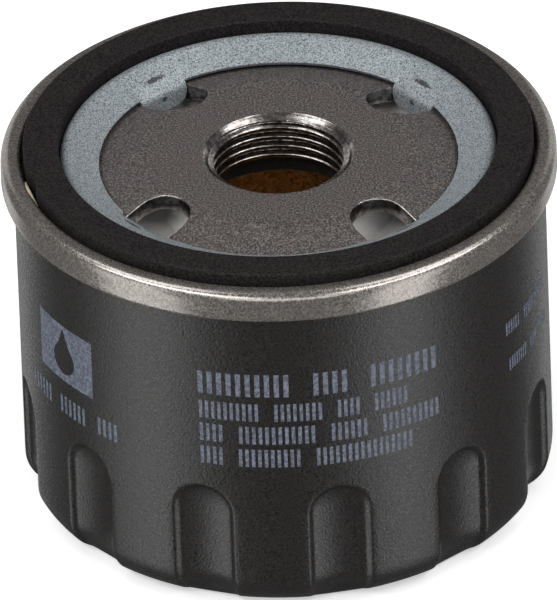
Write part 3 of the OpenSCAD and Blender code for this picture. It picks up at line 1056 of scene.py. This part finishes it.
def end_caps(tin, potting):
    """Two pressed caps, and the potting that holds the paper in them."""
    cap_wall = 0.4
    cap_r = radius_of("upper_end_cap")
    inner_r = cap_r - cap_wall
    low, high = span_of("upper_end_cap")
    floor = high - cap_wall
    turned("upper_cap_pressing",
           [(12.3, floor, 0.05), (inner_r, floor, 0.25), (inner_r, low, 0.05),
            (cap_r, low, 0.1), (cap_r, high, 0.6), (12.3, high, 0.12)],
           tin, "element", ["upper_end_cap"])
    low, high = span_of("lower_end_cap")
    floor = low + cap_wall
    turned("lower_cap_pressing",
           [(6.9, low, 0.12), (cap_r, low, 0.6), (cap_r, high, 0.1), (inner_r, high, 0.05),
            (inner_r, floor, 0.25), (6.9, floor, 0.1)],
           tin, "element", ["lower_end_cap"])
    for node in ("upper_potting", "lower_potting"):
        washer(node + "_ring", node, 12.82, potting, "element", (0.3, 0.3, 0.3, 0.3))


def hub_seal(black):
    low, high = span_of("hub_seal")
    foot_z = low + 1.8
    turned("hub_seal_ring",
           [(11.9, low, 0.3), (16.8, low, 0.3), (16.8, foot_z, 0.4), (14.2, foot_z, 0.5),
            (14.2, high, 0.5), (11.9, high, 0.7)], black, "element", ["hub_seal"])


def drainback(silicone):
    """The diaphragm: a collar that stays, a cone, and a bead that moves."""
    low, high = span_of("drainback_diaphragm")
    edge_r = radius_of("drainback_diaphragm")
    lip_low, lip_top = span_of("drainback_lip")
    foot_r, foot_z = 16.7, low + 0.9
    turned("drainback_collar",
           [(14.22, low, 0.1), (foot_r, low, 0.1), (foot_r, foot_z, 0.2),
            (15.9, low + 2.3, 0.8), (15.8, high, 0.3), (14.22, high, 0.2)],
           silicone, "element", ["drainback_diaphragm"])
    path = rounded([(foot_r, low, 0.05), (edge_r, lip_top - 1.4, 0.1),
                    (edge_r, lip_top - 0.5, 0.1), (foot_r, foot_z, 0.05)])
    points, faces = revolve(divided(path, lambda z: 1.0))
    cone = make_piece("drainback_cone", points, faces, [silicone], "element")
    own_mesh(cone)
    turned("drainback_bead",
           [(30.6, lip_low, 0.2), (33.0, lip_low + 0.4, 0.4), (33.0, lip_top, 0.6),
            (30.6, lip_top, 0.35)], silicone, "drainback_edge", ["drainback_lip"])


def coil(name, node, body, mid_r, wire_d, turns, wire, fixed_end):
    """A coil spring the height of its node."""
    low, high = span_of(node)
    points, faces = swept_wire(coil_centres(mid_r, wire_d, low, high, turns), wire_d / 2)
    spring = make_piece(name, points, faces, [wire], body, [node], sharp=50)
    fixed_end(node) * MM
    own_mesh(spring)


def springs(wire):
    coil("support_coil", "support_spring", "housing", 15, 1.2, 3, wire,
         bottom_of)
    coil("bypass_coil", "bypass_spring", "element", 5.4, 0.8, 4, wire,
         top_of)


def bypass_valve(tin, wire, black):
    """The disc, its rubber face and the rivet through both."""
    stem_r, head_r = 1.6, 3.0
    hole_r = stem_r + 0.02
    washer("bypass_washer", "bypass_seal", hole_r, black, "bypass_poppet",
           (0.1, 0.25, 0.25, 0.1), steps=96)
    washer("bypass_plate", "bypass_disc", hole_r, tin, "bypass_poppet",
           (0.05, 0.08, 0.25, 0.1), steps=96)
    low, high = span_of("bypass_stem")
    head_z = low + 0.58
    head = [(0, low, 0), (2.2, low, 0.3), (head_r, low + 0.3, 0.2), (head_r, head_z, 0.05),
            (stem_r, head_z, 0.05), (stem_r, high, 0.4), (0, high, 0)]
    points, faces = revolve(rounded(head, closed=False), 64, closed=False)
    make_piece("bypass_rivet", points, faces, [wire], "bypass_poppet", ["bypass_stem"])


# ---- stage

def camera():
    """A long lens from the front and above, aimed a little under the rim and rolled."""
    elevation, roll = math.radians(32.4), math.radians(2.1)
    distance = 3500.0
    lens = 0.4254 * distance            # the picture holds the same width at any distance
    below_rim = 20.6 / distance         # tangent of the angle from the rim's middle to the aim
    target = Vector((0, 0, SEAM_Z))
    ahead = Vector((0, math.cos(elevation), -math.sin(elevation)))
    right = Vector((1, 0, 0))
    up = right.cross(ahead)
    right, up = (right * math.cos(roll) - up * math.sin(roll),
                 up * math.cos(roll) + right * math.sin(roll))
    place = target - ahead * distance
    aim = (ahead - up * below_rim).normalized()
    up = right.cross(aim)
    data = bpy.data.cameras.new("camera")
    data.lens = lens
    data.sensor_width = 36
    data.clip_start = 0.05
    data.clip_end = 20
    eye = bpy.data.objects.new("camera", data)
    bpy.context.scene.collection.objects.link(eye)
    turn = Matrix((right, up, -aim)).transposed().to_4x4()
    eye.matrix_world = Matrix.Translation(place * MM) @ turn
    bpy.context.scene.camera = eye


def softbox(name, azimuth, elevation, distance, width, height, brightness):
    """An area light that faces the filter; distance, width and height are in metres."""
    data = bpy.data.lights.new(name, "AREA")
    data.shape = "RECTANGLE"
    data.size = width
    data.size_y = height
    data.energy = brightness * math.pi * width * height
    light = bpy.data.objects.new(name, data)
    bpy.context.scene.collection.objects.link(light)
    a, e = math.radians(azimuth), math.radians(elevation)
    back = Vector((math.sin(a) * math.cos(e), -math.cos(a) * math.cos(e), math.sin(e)))
    light.location = Vector((0, 0, 0.04)) + back * distance
    light.visible_camera = False
    light.rotation_mode = "QUATERNION"
    light.rotation_quaternion = (-back).to_track_quat("-Z", "Y")


def surroundings():
    """A dim even light all round, and plain white where the camera sees past everything."""
    bpy.context.scene.view_settings.view_transform = "Standard"
    world = bpy.data.worlds.new("studio")
    bpy.context.scene.world = world
    world.use_nodes = True
    tree = world.node_tree
    tree.nodes.clear()
    seen = add_node(tree, "Background", (1, 1, 1, 1)).outputs[0]
    lit = add_node(tree, "Background", None, 0.16).outputs[0]
    camera_ray = add_node(tree, "LightPath").outputs["Is Camera Ray"]
    add_node(tree, "OutputWorld", add_node(tree, "MixShader", camera_ray, lit, seen).outputs[0])


def floor():
    mesh = bpy.data.meshes.new("floor")
    half = 3.0                 # metres
    mesh.from_pydata([(-half, -half, 0), (half, -half, 0), (half, half, 0), (-half, half, 0)],
                     [], [(0, 1, 2, 3)])
    mesh.materials.append(pale_floor())
    sheet = bpy.data.objects.new("floor", mesh)
    bpy.context.scene.collection.objects.link(sheet)
    sheet.visible_glossy = False      # glossy surfaces look past the floor to the low strips
    sheet.visible_shadow = False


def lights():
    """Two long keys from the front, and low upright strips mirrored as bands on the can."""
    softbox("left_key", -50, 46, 0.9, 0.9, 0.2, 6.4)
    softbox("right_key", 60, 46, 0.9, 0.9, 0.2, 5.6)
    softbox("front_fill", 0, 24, 1.0, 0.8, 0.35, 1.8)
    softbox("left_strip", -60, -12, 0.9, 0.5, 1.3, 1.35)
    softbox("right_strip", 50, -12, 0.9, 0.37, 1.3, 1.6)
    softbox("left_edge", -150, -5, 0.9, 0.4, 1.2, 0.6)
    softbox("right_edge", 150, -5, 0.9, 0.4, 1.2, 0.55)
    softbox("left_top", -100, 64, 1.1, 0.5, 0.5, 3.0)
    softbox("right_top", 100, 64, 1.1, 0.5, 0.5, 3.0)


# ---- build

def build():
    camera()
    surroundings()
    floor()
    lights()
    ink = print_ink()
    black = rubber("nitrile_black", (0.012, 0.011, 0.011), (0.028, 0.026, 0.026), 0.5)
    nitrile = rubber("gasket_nitrile", (0.003, 0.0024, 0.0024), (0.023, 0.0195, 0.0195), 0.68, 0.15)
    silicone = rubber("pale_silicone", (0.84, 0.82, 0.79), (0.93, 0.91, 0.88), 0.35, 0.5)
    tin = metal("tinplate", (0.42, 0.42, 0.43), (0.62, 0.62, 0.63), 0.3)
    wire = metal("spring_wire", (0.3, 0.3, 0.31), (0.5, 0.5, 0.51), 0.35, 0.2)
    gold = metal("gold_passivate", (0.5, 0.27, 0.09), (1.0, 0.72, 0.4), 0.3, 0.5, 0.07)
    potting = plastisol()
    can(can_paint())
    can_print(ink)
    can_badge(ink)
    lid(zinc_sheet(), seam_steel())
    base_plate(phosphate_plate(), cut_steel())
    gasket(nitrile)
    # a cream sliver painted in as a highlight between the gasket and the seam
    painted_highlight_sliver(potting)
    end_caps(tin, potting)
    hub_seal(black)
    drainback(silicone)
    springs(wire)
    bypass_valve(tin, wire, black)
    pleats(filter_paper())
    kept = {"seam_compound": potting, "spring_seat": tin, "paper_seam_clip": tin,
            "centre_tube": gold, "bypass_seat": tin, "bypass_cage": tin}
    for node, material in kept.items():
        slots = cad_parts[node].data.materials
        slots.clear()
        slots.append(material)


build()
